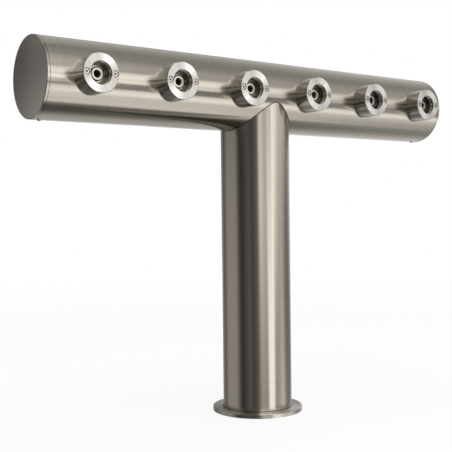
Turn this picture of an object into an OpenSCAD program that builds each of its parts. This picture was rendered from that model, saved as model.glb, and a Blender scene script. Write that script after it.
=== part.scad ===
// Six-way T-shaped beer tower. A round beam lies across a round column on a base flange.
// Origin: centre of the flange's underside. +X runs along the beam, -Y faces the drinker, +Z is up.

/* [Beam] */
// Outside diameter of the beam tube
beam_od = 88.9; // [86:0.1:104]
// Wall of the beam tube
beam_wall = 2; // [1.5:0.1:2.5]
// Length of the beam over both end caps
beam_len = 600; // [590:1:700]
// Height of the beam's axis above the counter
beam_axis_z = 392.2; // [300:0.1:500]
// Diameter of the opening in the beam's underside, above the column
beam_passage_d = 66; // [60:1:72]

/* [Column] */
// Outside diameter of the column tube
column_od = 86; // [84:0.1:86]
// Wall of the column tube
column_wall = 2; // [1.5:0.1:2.2]

/* [Base flange] */
// Diameter of the base flange
flange_od = 112; // [110:0.5:160]
// Thickness of the base flange
flange_t = 5; // [4:0.5:10]
// Bevel on the flange's top edge
flange_chamfer = 0.6; // [0.3:0.1:1.5]
// Gap between the line passage and the fixing nuts
passage_gap = 0.5; // [0.2:0.1:3]
// Inside diameter of the fixing threads
bolt_thread_d = 6.8; // [5:0.1:6.8]
// Width across the flats of the fixing nuts
fixing_nut_flats = 13; // [11:0.5:13]
// Height of the fixing nuts
fixing_nut_h = 6.5; // [5:0.1:10]
// Gap between the fixing nuts and the column's wall
fixing_nut_gap = 0.5; // [0.3:0.1:3]
// Distance from the flange's rim to the counter seal
base_seal_inset = 4.5; // [3:0.5:8]
// Width of the counter seal
base_seal_w = 4; // [2:0.5:5]
// Depth of the counter seal in the flange
base_seal_t = 2; // [1:0.5:3]

/* [End caps] */
// Thickness of the cap's visible rim
cap_rim_t = 3; // [2:0.5:8]
// Bevel on the cap's edge
cap_chamfer = 0.5; // [0.2:0.1:1.5]
// Open seam between the cap's rim and the tube
cap_seam = 0.5; // [0.3:0.05:0.8]
// Length of the cap's spigot
spigot_len = 14; // [12:0.5:18]
// Wall of the cap's spigot
spigot_wall = 4; // [3.5:0.5:6]
// Gap between the spigot and the tube
spigot_gap = 0.3; // [0.3:0.05:0.5]
// Thickness of the cap's seal ring
cap_ring_d = 1.5; // [1:0.1:1.8]
// Distance from the rim to the middle of the seal ring
cap_ring_inset = 2.5; // [1.5:0.1:3]
// Wall between the seal ring's groove and the slot for the cap screw
cap_slot_web = 1.95; // [1:0.05:3]
// Width of the slot in the spigot that the cap screw runs in
cap_slot_w = 3.4; // [3:0.1:5]
// Diameter of the cap screw's head
cap_screw_head_d = 4.2; // [3.6:0.1:6]
// Height of the cap screw's head
cap_screw_head_h = 1.1; // [1:0.1:2]
// Width across the flats of the cap nut
cap_nut_flats = 5; // [4.4:0.1:6]
// Height of the cap nut
cap_nut_h = 2; // [1.6:0.1:3]
// Gap between the cap nut and the spigot
cap_nut_gap = 0.5; // [0.45:0.05:0.8]

/* [Tap bosses] */
// Distance between neighbouring taps, the last one at each end apart
tap_pitch = 100; // [83:1:120]
// Distance from the beam's end to the axis of its last tap
tap_end_gap = 50; // [40:1:60]
// Diameter of a tap boss
boss_od = 41.4; // [40.4:0.1:46]
// How far a boss stands out from the front of the beam
boss_proj = 20.7; // [18:0.1:30]
// Bevel on the boss's front edge
boss_chamfer = 0.5; // [0.2:0.1:1]
// Inside diameter of the tap thread
port_thread_d = 24.1; // [22:0.1:24.3]
// Length of the tap thread, its bevelled mouth included
port_thread_len = 7; // [4:0.5:7]
// Bevel at the thread's mouth
port_chamfer = 0.4; // [0.2:0.1:0.6]
// Depth of the undercut behind the thread
port_relief_h = 0.3; // [0.2:0.05:0.4]
// Depth of the port from the boss's face to its floor
port_depth = 14; // [13:0.5:16]
// Wall between the undercut and the counterbore round a screw head
port_web = 0.35; // [0.25:0.05:1]
// Diameter of the counterbore round a screw head
counterbore_d = 7.4; // [7.2:0.1:7.8]
// How far the screw head lies below the boss's face
screw_recess = 0.5; // [0:0.1:2]
// Diameter of the boss screw's head
screw_head_d = 6.5; // [6:0.1:7.1]
// Height of the boss screw's head
screw_head_h = 4; // [3:0.1:5]
// Bevel on the boss screw's head
screw_head_bevel = 0.3; // [0.3:0.1:1]

/* [Small screws] */
// Thread diameter of the boss screws
screw_d = 4; // [3:0.1:4.2]
// Thread diameter of the cap screws
cap_screw_d = 2.5; // [2:0.1:2.9]
// Gap round a screw in its plain hole
screw_gap = 0.2; // [0.1:0.05:0.3]
// Width across the flats of the key socket in a boss screw
socket_flats = 2.5; // [2:0.1:3.5]
// Depth of the key socket in a boss screw
socket_depth = 2; // [1:0.1:2.5]
// Width across the flats of the key socket in a cap screw
cap_socket_flats = 1.5; // [1.3:0.1:2]
// Depth of the key socket in a cap screw
cap_socket_depth = 0.7; // [0.5:0.1:0.9]

/* [Line nozzles] */
// Diameter of the nozzle's shoulder on the port's floor
nozzle_shoulder_d = 17.5; // [16:0.1:20]
// Thickness of the nozzle's shoulder
nozzle_shoulder_t = 2.4; // [1.5:0.1:3]
// Diameter of the nozzle's tip
nozzle_tip_d = 13.5; // [11.8:0.1:14.5]
// How far the nozzle's tip lies below the boss's face
nozzle_tip_drop = 9; // [7.1:0.1:9.5]
// Bevel on the nozzle's tip
nozzle_chamfer = 0.5; // [0.2:0.1:0.8]
// Bevel at the mouth of the nozzle's hole
nozzle_mouth = 0.9; // [0.3:0.1:1.5]
// Diameter of the nozzle's shank
nozzle_shank_d = 12; // [11.8:0.1:13]
// Gap between the shank and the holes that it passes through
shank_gap = 0.25; // [0.1:0.05:0.4]
// Depth of the socket that holds the beer line
line_socket_len = 8; // [5:0.5:10]
// Gap between the beer line and its socket
line_gap = 0.05; // [0.02:0.01:0.1]
// Outside diameter of the nozzle's seal
nozzle_seal_od = 15; // [14.6:0.1:17]
// Thickness of the nozzle's seal
nozzle_seal_t = 1.6; // [1:0.1:2]

/* [Backing plates and lock nuts] */
// Distance from a boss screw's axis to the end of its backing plate
plate_margin = 5; // [3:0.5:12]
// Width of a backing plate
plate_w = 20; // [16:1:24]
// Thickness of a backing plate at its middle
plate_t = 5; // [4:0.5:6]
// Width across the flats of the nozzle's lock nut
lock_nut_flats = 18; // [16:0.5:20]
// Height of the nozzle's lock nut
lock_nut_h = 5; // [4:0.5:6]

/* [Beer lines] */
// Outside diameter of a beer line
line_od = 9.5; // [8:0.1:9.8]
// Wall of a beer line
line_wall = 1.2; // [0.8:0.1:1.5]
// Radius of the bends, along the middle of the line
line_bend_r = 14; // [12:0.5:18]
// Distance of the outer lines in the column from its middle, both along and across the beam
line_row = 12.7; // [11:0.1:15]
// Distance of the middle lines in the column from its axis, along the beam
line_mid = 18; // [15:0.5:21]
// Gap between the fixing nuts and the lines' lower ends above them
line_end_gap = 0.5; // [0.5:0.5:6]
// Length of the lines' lower ends below their bead
line_stub_len = 24; // [15:1:40]
// How far a bead stands out from its line
bead_h = 0.9; // [0.5:0.1:1]

/* [Coolant line] */
// Outside diameter of the coolant line
coolant_od = 8; // [6:0.5:8]
// Wall of the coolant line
coolant_wall = 1; // [0.8:0.1:1.5]
// Distance of the coolant line from the column's axis, and radius of its return bends
coolant_offset = 22; // [19:0.5:26]
// Gap between the coolant line and the top of the beam's bore
coolant_top_gap = 18.45; // [15:0.05:22]
// Distance from the caps' spigots to the middle of the coolant line's end bends
coolant_end_gap = 12; // [6:1:40]

/* [Insulation and grommet] */
// Wall of the foam along the beam
beam_foam_t = 7; // [3:0.5:9]
// How far the beam's foam reaches in front of the beam's axis
beam_foam_front = 18; // [0:1:19]
// Wall of the foam in the column
column_foam_t = 12; // [6:0.5:14]
// Gap between the lines and the channels for them where they run through thick foam
foam_line_gap = 1; // [0.2:0.1:1.5]
// Gap round the foam and the grommet
foam_gap = 0.1; // [0.05:0.05:0.3]
// Gap between the lines' beads and the grommet above them
grommet_gap = 2.2; // [1:0.1:20]
// Thickness of the grommet
grommet_t = 10; // [5:1:15]

/* [Hidden] */
$fn = 96;
tap_count = 6;
side_count = tap_count / 2;
bolt_count = 4;
// Overrun of every cut past the face that it opens
cut = 1;
// Gap beside each seal in its groove
seal_gap = 0.1;

beam_r = beam_od / 2;
beam_bore = beam_od - 2 * beam_wall;
beam_half = beam_len / 2;
tube_half = beam_half - cap_rim_t - cap_seam;
column_bore = column_od - 2 * column_wall;
spigot_od = beam_bore - 2 * spigot_gap;
spigot_id = spigot_od - 2 * spigot_wall;
spigot_end = beam_half - cap_rim_t - spigot_len;
cap_ring_x = beam_half - cap_rim_t - cap_ring_inset;
cap_screw_x = cap_ring_x - cap_ring_d / 2 - seal_gap - cap_slot_web - cap_slot_w / 2;
cap_nut_top = spigot_id / 2 - cap_nut_gap;

bolt_pcd = column_bore - fixing_nut_flats - 2 * fixing_nut_gap;
passage_d = bolt_pcd - fixing_nut_flats - 2 * passage_gap;
base_seal_od = flange_od - 2 * base_seal_inset;

boss_face = beam_r + boss_proj;
port_floor = boss_face - port_depth;
shoulder_face = port_floor + nozzle_shoulder_t;
nozzle_tip = boss_face - nozzle_tip_drop;
screw_seat = boss_face - screw_recess - screw_head_h;
port_relief_d = port_thread_d + 2 * port_relief_h;
boss_screw_offset = (port_relief_d + counterbore_d) / 2 + port_web;
plate_len = 2 * (boss_screw_offset + plate_margin);
plate_face = beam_bore / 2 - plate_t;
lock_nut_face = plate_face - lock_nut_h;
line_bore = line_od - 2 * line_wall;
nozzle_tail = line_row + line_bend_r;
line_start = nozzle_tail + line_socket_len;

line_end_z = flange_t + fixing_nut_h + line_end_gap;
grommet_z = line_end_z + line_stub_len + 2 * bead_h + grommet_gap;
coolant_rise = (beam_bore - coolant_od) / 2 - coolant_top_gap;
coolant_reach = spigot_end - coolant_end_gap;

tap_numbers = [1:tap_count];

tube_steel = "#b4ada3";
turned_steel = "#d3cec6";
cap_steel = "#8d8a84";
bolt_steel = "#c4c1bb";
seal_rubber = "#1d1d1f";
foam_grey = "#5b5a57";

// Places

function tap_side(i) = i > side_count ? 1 : -1;
// 0 for the tap nearest the column, 2 for the one farthest out
function tap_rank(i) = i > side_count ? i - side_count - 1 : side_count - i;
function is_last(i) = tap_rank(i) == side_count - 1;
function tap_x(i) =
    tap_side(i) * (is_last(i) ? beam_half - tap_end_gap : (tap_rank(i) + 0.5) * tap_pitch);
// The nearest tap's line stands in front, the next one's in the middle and the farthest one's behind
function bundle_place(i) = [
    tap_side(i) * (tap_rank(i) == 1 ? line_mid : line_row),
    (tap_rank(i) - 1) * line_row
];

// Turns a tap's own frame, with +Z out of the port, into the tower's frame.
module at_tap(i) {
    translate([tap_x(i), 0, beam_axis_z]) rotate([90, 0, 0]) children();
}

// Turns +Z onto +X along the beam's axis, from x = 0.
module on_beam() {
    translate([0, 0, beam_axis_z]) rotate([0, 90, 0]) children();
}

// Repeats a piece of the right end at the left end.
module at_both_ends() {
    children();
    mirror([1, 0, 0]) children();
}

module at_bolts() {
    for (k = [0:bolt_count - 1])
        rotate([0, 0, (k + 0.5) * 360 / bolt_count]) translate([bolt_pcd / 2, 0, 0]) children();
}

module at_boss_screws() {
    for (side = [-1, 1])
        translate([side * boss_screw_offset, 0, 0]) children();
}

// Shared shapes

module annulus(od, id) {
    difference() {
        circle(d = od);
        circle(d = id);
    }
}

module tube(od, id, h) {
    linear_extrude(h) annulus(od, id);
}

// A round bar with a bevelled top edge.
module bevelled_disc(d, h, bevel) {
    rotate_extrude()
        polygon([[0, 0], [d / 2, 0], [d / 2, h - bevel], [d / 2 - bevel, h], [0, h]]);
}

module hexagon(flats) {
    circle(d = flats / cos(30), $fn = 6);
}

module hex_nut(flats, h, bore) {
    linear_extrude(h) difference() {
        hexagon(flats);
        circle(d = bore);
    }
}

// A screw that points down from its head's seat at z = 0.
module socket_screw(d, head_d, head_h, bevel, shank_len, key_flats, key_depth) {
    difference() {
        union() {
            bevelled_disc(head_d, head_h, bevel);
            translate([0, 0, -shank_len]) cylinder(d = d, h = shank_len);
        }
        translate([0, 0, head_h - key_depth]) linear_extrude(key_depth + cut) hexagon(key_flats);
    }
}

module beam_bar(d) {
    on_beam() cylinder(d = d, h = beam_len, center = true);
}

// Pipes

function unit(v) = v / norm(v);
function turn_angle(a, b) = acos(a * b);
function bend_reach(a, b, r) = r * tan(turn_angle(a, b) / 2);
function heading(path, k) = unit(path[k + 1] - path[k]);
// How much of a leg the bend at point k takes up; there is none at either end of the path
function reach_at(path, k, r) =
    k == 0 || k == len(path) - 1 ? 0 : bend_reach(heading(path, k - 1), heading(path, k), r);

// Turns +Z onto a heading, at a place.
module along(place, way) {
    translate(place) rotate([0, acos(way[2]), atan2(way[1], way[0])]) children();
}

module pipe_bend(corner, way_in, way_out, r, od, wall) {
    inward = unit(way_out - way_in * (way_in * way_out));
    middle = corner - way_in * bend_reach(way_in, way_out, r) + inward * r;
    across = -inward;
    up = cross(across, way_in);
    multmatrix([
        [across[0], way_in[0], up[0], middle[0]],
        [across[1], way_in[1], up[1], middle[1]],
        [across[2], way_in[2], up[2], middle[2]],
        [0, 0, 0, 1]
    ])
        rotate_extrude(angle = turn_angle(way_in, way_out))
            translate([r, 0]) annulus(od, od - 2 * wall);
}

// A pipe along straight legs, with a bend of radius r at every corner.
module pipe(path, r, od, wall) {
    last = len(path) - 1;
    for (k = [0:last - 1]) {
        way = heading(path, k);
        start = path[k] + way * reach_at(path, k, r);
        leg = norm(path[k + 1] - start) - reach_at(path, k + 1, r);
        if (leg > seal_gap) along(start, way) tube(od, od - 2 * wall, leg);
    }
    for (k = [1:last - 1])
        pipe_bend(path[k], heading(path, k - 1), heading(path, k), r, od, wall);
}

module line_bead(x, y, od, wall) {
    translate([x, y, line_end_z + line_stub_len + bead_h])
        rotate_extrude() difference() {
            translate([od / 2, 0]) circle(r = bead_h);
            translate([0, -2 * bead_h]) square([od / 2 - wall / 2, 4 * bead_h]);
        }
}

// Tubes and base

module beam_tube() {
    color(tube_steel) difference() {
        on_beam() translate([0, 0, -tube_half]) tube(beam_od, beam_bore, 2 * tube_half);
        translate([0, 0, beam_axis_z - beam_r - cut]) cylinder(d = beam_passage_d, h = beam_r + cut);
        for (i = tap_numbers) at_tap(i) {
            cylinder(d = nozzle_shank_d + 2 * shank_gap, h = beam_r + cut);
            at_boss_screws() cylinder(d = screw_d + 2 * screw_gap, h = beam_r + cut);
        }
        at_both_ends()
            translate([cap_screw_x, 0, beam_axis_z - beam_r - cut])
                cylinder(d = cap_screw_d + 2 * screw_gap, h = beam_r);
    }
}

module column_tube() {
    color(tube_steel) difference() {
        translate([0, 0, flange_t]) tube(column_od, column_bore, beam_axis_z - flange_t);
        beam_bar(beam_od);
    }
}

module base_flange() {
    r = flange_od / 2;
    hole_r = passage_d / 2;
    groove_out = base_seal_od / 2 + seal_gap;
    groove_in = base_seal_od / 2 - base_seal_w - seal_gap;
    color(turned_steel) difference() {
        rotate_extrude() polygon([
            [hole_r, 0], [groove_in, 0], [groove_in, base_seal_t], [groove_out, base_seal_t],
            [groove_out, 0], [r, 0], [r, flange_t - flange_chamfer], [r - flange_chamfer, flange_t],
            [hole_r, flange_t]
        ]);
        at_bolts() translate([0, 0, -cut]) cylinder(d = bolt_thread_d, h = flange_t + 2 * cut);
    }
}

// Each nut has one flat towards the column's axis.
module fixing_nuts() {
    color(bolt_steel) at_bolts() translate([0, 0, flange_t])
        rotate([0, 0, 30]) hex_nut(fixing_nut_flats, fixing_nut_h, bolt_thread_d);
}

module base_seal() {
    color(seal_rubber) tube(base_seal_od, base_seal_od - 2 * base_seal_w, base_seal_t);
}

// End caps

// The right-hand cap. The slot in its spigot is open towards the column, so that the cap pulls off
// past the screw once the screw has been slackened.
module end_cap() {
    slot_len = cap_screw_x - spigot_end;
    color(cap_steel) difference() {
        union() {
            on_beam() translate([0, 0, beam_half - cap_rim_t])
                bevelled_disc(beam_od, cap_rim_t, cap_chamfer);
            on_beam() translate([0, 0, spigot_end])
                tube(spigot_od, spigot_id, spigot_len);
        }
        on_beam() translate([0, 0, cap_ring_x - cap_ring_d / 2 - seal_gap])
            tube(spigot_od + 2 * cut, spigot_od - 2 * cap_ring_d, cap_ring_d + 2 * seal_gap);
        translate([cap_screw_x, 0, beam_axis_z - beam_r]) {
            cylinder(d = cap_slot_w, h = beam_r - cap_nut_top + cut);
            translate([-slot_len - cut, -cap_slot_w / 2, 0])
                cube([slot_len + cut, cap_slot_w, beam_r - cap_nut_top + cut]);
        }
    }
}

module left_end_cap() {
    mirror([1, 0, 0]) end_cap();
}

module right_end_cap() {
    end_cap();
}

module cap_seal() {
    color(seal_rubber) on_beam() translate([0, 0, cap_ring_x])
        rotate_extrude() translate([spigot_od / 2 - cap_ring_d / 2, 0]) circle(d = cap_ring_d);
}

module left_cap_seal() {
    mirror([1, 0, 0]) cap_seal();
}

module right_cap_seal() {
    cap_seal();
}

module cap_screws() {
    bevel = cap_screw_head_h / 2;
    color(bolt_steel) at_both_ends() translate([cap_screw_x, 0, beam_axis_z - beam_r])
        mirror([0, 0, 1]) socket_screw(
            cap_screw_d, cap_screw_head_d, cap_screw_head_h, bevel,
            beam_r - cap_nut_top + cap_nut_h, cap_socket_flats, cap_socket_depth
        );
}

module cap_nuts() {
    color(bolt_steel) at_both_ends() translate([cap_screw_x, 0, beam_axis_z - cap_nut_top])
        hex_nut(cap_nut_flats, cap_nut_h, cap_screw_d);
}

// Tap stations

module tap_boss(i) {
    color(turned_steel) difference() {
        at_tap(i) difference() {
            bevelled_disc(boss_od, boss_face, boss_chamfer);
            translate([0, 0, -cut]) cylinder(d = nozzle_shank_d + 2 * shank_gap, h = boss_face + cut);
            translate([0, 0, port_floor]) cylinder(d = port_relief_d, h = port_depth - port_thread_len);
            translate([0, 0, port_floor]) cylinder(d = port_thread_d, h = port_depth + cut);
            translate([0, 0, boss_face - port_chamfer])
                cylinder(d1 = port_thread_d, d2 = port_thread_d + 2 * port_chamfer, h = port_chamfer);
            at_boss_screws() {
                translate([0, 0, -cut]) cylinder(d = screw_d + 2 * screw_gap, h = boss_face + cut);
                translate([0, 0, screw_seat]) cylinder(d = counterbore_d, h = boss_face);
            }
        }
        beam_bar(beam_od);
    }
}

module boss_screws(i) {
    color(bolt_steel) at_tap(i) at_boss_screws() translate([0, 0, screw_seat])
        socket_screw(
            screw_d, screw_head_d, screw_head_h, screw_head_bevel,
            screw_seat - plate_face, socket_flats, socket_depth
        );
}

module line_nozzle(i) {
    bore_r = line_bore / 2;
    tip_r = nozzle_tip_d / 2;
    socket_r = line_od / 2 + line_gap;
    color(turned_steel) at_tap(i) rotate_extrude() polygon([
        [bore_r + nozzle_mouth, nozzle_tip], [tip_r - nozzle_chamfer, nozzle_tip],
        [tip_r, nozzle_tip - nozzle_chamfer], [tip_r, shoulder_face],
        [nozzle_shoulder_d / 2, shoulder_face], [nozzle_shoulder_d / 2, port_floor],
        [nozzle_shank_d / 2, port_floor], [nozzle_shank_d / 2, nozzle_tail],
        [socket_r, nozzle_tail], [socket_r, line_start], [bore_r, line_start],
        [bore_r, nozzle_tip - nozzle_mouth]
    ]);
}

module nozzle_seal(i) {
    color(seal_rubber) at_tap(i) translate([0, 0, shoulder_face])
        tube(nozzle_seal_od, nozzle_tip_d, nozzle_seal_t);
}

// A plate whose front follows the beam's bore and whose back is flat.
module backing_plate(i) {
    color(bolt_steel) intersection() {
        at_tap(i) translate([0, 0, plate_face]) linear_extrude(plate_t + cut) difference() {
            square([plate_len, plate_w], center = true);
            circle(d = nozzle_shank_d + 2 * shank_gap);
            at_boss_screws() circle(d = screw_d);
        }
        beam_bar(beam_bore);
    }
}

module lock_nut(i) {
    color(bolt_steel) at_tap(i) translate([0, 0, lock_nut_face])
        hex_nut(lock_nut_flats, lock_nut_h, nozzle_shank_d);
}

// Lines and insulation

// Back from the nozzle, along the beam to the column, then down it.
module beer_line(i) {
    place = bundle_place(i);
    color(turned_steel) {
        pipe(
            [
                [tap_x(i), -line_start, beam_axis_z],
                [tap_x(i), place[1], beam_axis_z],
                [place[0], place[1], beam_axis_z],
                [place[0], place[1], line_end_z]
            ],
            line_bend_r, line_od, line_wall
        );
        line_bead(place[0], place[1], line_od, line_wall);
    }
}

// Up the back of the column, out to the left end, across to the right end, and home to the front.
module coolant_line() {
    top = beam_axis_z + coolant_rise;
    color(turned_steel) {
        pipe(
            [
                [0, coolant_offset, line_end_z],
                [0, coolant_offset, top],
                [-coolant_reach, coolant_offset, top],
                [-coolant_reach, 0, top],
                [coolant_reach, 0, top],
                [coolant_reach, -coolant_offset, top],
                [0, -coolant_offset, top],
                [0, -coolant_offset, line_end_z]
            ],
            coolant_offset / 2, coolant_od, coolant_wall
        );
        for (side = [-1, 1])
            line_bead(0, side * coolant_offset, coolant_od, coolant_wall);
    }
}

// The outlines of all the lines in the column, with a gap round each.
module line_holes(gap) {
    for (i = tap_numbers) translate(bundle_place(i)) circle(d = line_od + 2 * gap);
    for (side = [-1, 1])
        translate([0, side * coolant_offset]) circle(d = coolant_od + 2 * gap);
}

module line_grommet() {
    color(seal_rubber) translate([0, 0, grommet_z]) linear_extrude(grommet_t) difference() {
        circle(d = column_bore - 2 * foam_gap);
        line_holes(line_gap);
    }
}

// A half pipe of foam that lines the back of the beam and is open above the column.
module beam_insulation() {
    od = beam_bore - 2 * foam_gap;
    half = spigot_end - cut;
    color(foam_grey) difference() {
        on_beam() translate([0, 0, -half]) tube(od, od - 2 * beam_foam_t, 2 * half);
        for (side = [-1, 1])
            translate([0, side * coolant_offset, coolant_rise])
                on_beam() cylinder(d = coolant_od + 2 * foam_line_gap, h = beam_len, center = true);
        translate([-half - cut, -beam_od, beam_axis_z - beam_r])
            cube([2 * (half + cut), beam_od - beam_foam_front, beam_od]);
        translate([0, 0, beam_axis_z - beam_r]) cylinder(d = beam_passage_d, h = beam_r);
    }
}

module column_insulation() {
    od = column_bore - 2 * foam_gap;
    base = grommet_z + grommet_t;
    top = beam_axis_z - beam_r - foam_gap;
    color(foam_grey) translate([0, 0, base]) linear_extrude(top - base) difference() {
        annulus(od, od - 2 * column_foam_t);
        line_holes(foam_line_gap);
    }
}

beam_tube();
column_tube();
base_flange();
fixing_nuts();
base_seal();
left_end_cap();
right_end_cap();
left_cap_seal();
right_cap_seal();
cap_screws();
cap_nuts();
for (i = tap_numbers) {
    tap_boss(i);
    boss_screws(i);
    line_nozzle(i);
    nozzle_seal(i);
    backing_plate(i);
    lock_nut(i);
    beer_line(i);
}
coolant_line();
line_grommet();
beam_insulation();
column_insulation();
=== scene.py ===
"""Dresses a six-way T-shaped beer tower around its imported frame, and sets up a studio for it."""

import logging
import math
from dataclasses import dataclass, field
from enum import Enum
from typing import Any, Callable, Iterable, Mapping, Sequence

import bmesh
import bpy
from mathutils import Matrix, Vector


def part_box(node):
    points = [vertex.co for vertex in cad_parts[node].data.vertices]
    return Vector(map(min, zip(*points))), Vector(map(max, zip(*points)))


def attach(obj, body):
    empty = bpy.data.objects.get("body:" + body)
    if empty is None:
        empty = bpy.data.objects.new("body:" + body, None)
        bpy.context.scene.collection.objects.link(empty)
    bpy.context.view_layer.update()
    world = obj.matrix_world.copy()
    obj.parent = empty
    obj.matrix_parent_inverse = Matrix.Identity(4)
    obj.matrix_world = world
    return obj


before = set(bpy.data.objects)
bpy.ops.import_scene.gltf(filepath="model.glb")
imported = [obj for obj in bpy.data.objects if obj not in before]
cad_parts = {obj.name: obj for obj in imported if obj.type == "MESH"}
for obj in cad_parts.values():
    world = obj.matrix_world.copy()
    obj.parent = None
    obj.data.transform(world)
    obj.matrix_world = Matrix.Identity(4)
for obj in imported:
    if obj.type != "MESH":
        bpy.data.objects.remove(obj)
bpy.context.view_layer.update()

Tree = bpy.types.NodeTree
Node = bpy.types.Node
Socket = bpy.types.NodeSocket
# Places or angles, each with a light level or a share
Stops = tuple[tuple[float, float], ...]
# Where a soft edge starts, and where it counts in full
Edge = tuple[float, float]

LOG = logging.getLogger("beer_tower")
MM = 0.001
TAP_NUMBERS = range(1, 7)
# A quarter turn of the tangent smears highlights square to a grain that runs round the piece
GRAIN_ROTATION = 0.25
WHITE = (1.0, 1.0, 1.0, 1.0)
# How much of a flat face's normal lies along the axis that the face looks along
FACING_LIMIT = 0.9


class Axis(Enum):
    """The axis that a turned or drawn piece runs along, numbered as in a vector."""

    X = 0
    Y = 1
    Z = 2


class Body(Enum):
    """The moving bodies of the frame."""

    TOWER = "tower"
    LEFT_CAP = "left_cap"
    RIGHT_CAP = "right_cap"


def linear(hex_colour: str) -> tuple[float, float, float, float]:
    """Turns an sRGB hex colour into the linear colour that shaders take.

    Args:
        hex_colour: a colour such as "#CEC7BB".

    Returns:
        Red, green, blue and an alpha of 1.
    """
    values = [int(hex_colour[k:k + 2], 16) / 255 for k in (1, 3, 5)]
    turned = [v / 12.92 if v <= 0.04045 else ((v + 0.055) / 1.055) ** 2.4 for v in values]
    return (turned[0], turned[1], turned[2], 1.0)


def add_node(
    tree: Tree,
    kind: str,
    settings: Mapping[Any, Any] | None = None,
    links: Mapping[Any, Socket] | None = None,
) -> Node:
    """Adds a node with its settings and links.

    Args:
        tree: the node tree that takes the node.
        kind: Blender's name for the node.
        settings: values by property name, or by the name or number of an input.
        links: sources by the name or number of the input that they feed.

    Returns:
        The new node.
    """
    node = tree.nodes.new(kind)
    for key, value in (settings or {}).items():
        if isinstance(key, str) and hasattr(node, key):
            setattr(node, key, value)
        else:
            node.inputs[key].default_value = value
    for key, source in (links or {}).items():
        tree.links.new(source, node.inputs[key])
    return node


def set_ramp(node: Node, stops: Sequence[tuple[float, Any]]) -> None:
    """Gives a colour ramp its stops.

    Args:
        node: the ramp's node.
        stops: places from 0 to 1, each with a grey level or a colour.
    """
    elements = node.color_ramp.elements
    while len(elements) > 1:
        elements.remove(elements[-1])
    for k, (place, level) in enumerate(stops):
        stop = elements[0] if k == 0 else elements.new(place)
        stop.position = place
        stop.color = level if isinstance(level, tuple) else (level, level, level, 1.0)


@dataclass(frozen=True)
class Finish:
    """A surface finish. Each kind fills in its own shader."""

    name: str
    colour: str
    roughness: float

    def material(self) -> bpy.types.Material:
        """Makes the material once, under a name that none of the frame's own materials has.

        Returns:
            The material.
        """
        known = bpy.data.materials.get(self.name)
        if known:
            return known
        made = bpy.data.materials.new(self.name)
        made.use_nodes = True
        tree = made.node_tree
        tree.nodes.clear()
        shader = add_node(tree, "ShaderNodeBsdfPrincipled", {
            "Base Color": linear(self.colour),
            "Roughness": self.roughness,
        })
        add_node(tree, "ShaderNodeOutputMaterial", links={"Surface": shader.outputs["BSDF"]})
        self.fill(tree, shader)
        return made

    def fill(self, tree: Tree, shader: Node) -> None:
        """Adds this finish's own nodes.

        Args:
            tree: the material's node tree.
            shader: its Principled shader.
        """
        raise NotImplementedError

    def tone(self, tree: Tree, shader: Node, pattern: Socket, dark: str, light: str) -> None:
        """Lets the colour drift between two shades along a pattern.

        Args:
            tree: the material's node tree.
            shader: its Principled shader.
            pattern: values from 0 to 1.
            dark: the shade at 0.
            light: the shade at 1.
        """
        mix = add_node(tree, "ShaderNodeMix", {
            "data_type": "RGBA", 6: linear(dark), 7: linear(light),
        }, {0: pattern})
        tree.links.new(mix.outputs[2], shader.inputs["Base Color"])

    def vary_roughness(self, tree: Tree, shader: Node, pattern: Socket, spread: float) -> None:
        """Lets the roughness swing by the spread each way along a pattern.

        Args:
            tree: the material's node tree.
            shader: its Principled shader.
            pattern: values from 0 to 1.
            spread: how far the roughness moves from its own value.
        """
        ranged = add_node(tree, "ShaderNodeMapRange", {
            "To Min": self.roughness - spread, "To Max": self.roughness + spread,
        }, {"Value": pattern})
        tree.links.new(ranged.outputs["Result"], shader.inputs["Roughness"])

    def relief(
        self,
        tree: Tree,
        shader: Node,
        pattern: Socket,
        depth_mm: float,
        strength: float = 1.0,
    ) -> None:
        """Raises the surface along a pattern.

        Args:
            tree: the material's node tree.
            shader: its Principled shader.
            pattern: values from 0 to 1.
            depth_mm: the height of the pattern.
            strength: how much of that height shows.
        """
        bump = add_node(tree, "ShaderNodeBump", {
            "Strength": strength, "Distance": depth_mm * MM,
        }, {"Height": pattern})
        tree.links.new(bump.outputs["Normal"], shader.inputs["Normal"])

    def grain_round(self, tree: Tree, shader: Node, axis: Axis) -> None:
        """Makes the surface metal, with a grain that runs round an axis.

        Args:
            tree: the material's node tree.
            shader: its Principled shader.
            axis: the piece's axis.
        """
        shader.inputs["Metallic"].default_value = 1.0
        shader.inputs["Anisotropic Rotation"].default_value = GRAIN_ROTATION
        tangent = add_node(tree, "ShaderNodeTangent", {
            "direction_type": "RADIAL", "axis": axis.name,
        })
        tree.links.new(tangent.outputs["Tangent"], shader.inputs["Tangent"])


def streaks(tree: Tree, across_mm: float, along_mm: float, axis: Axis) -> Socket:
    """Makes long thin streaks that run square to an axis.

    Args:
        tree: the material's node tree.
        across_mm: the distance from one streak to the next, along the axis.
        along_mm: the length of a streak.
        axis: the piece's axis.

    Returns:
        Values from about 0.3 to 0.7.
    """
    place = add_node(tree, "ShaderNodeTexCoord")
    scale = [1 / (along_mm * MM)] * 3
    scale[axis.value] = 1 / (across_mm * MM)
    stretched = add_node(tree, "ShaderNodeMapping", {"Scale": tuple(scale)}, {
        "Vector": place.outputs["Object"],
    })
    noise = add_node(tree, "ShaderNodeTexNoise", {"Scale": 1.0, "Detail": 4.0, "Roughness": 0.6}, {
        "Vector": stretched.outputs["Vector"],
    })
    return noise.outputs["Fac"]


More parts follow.
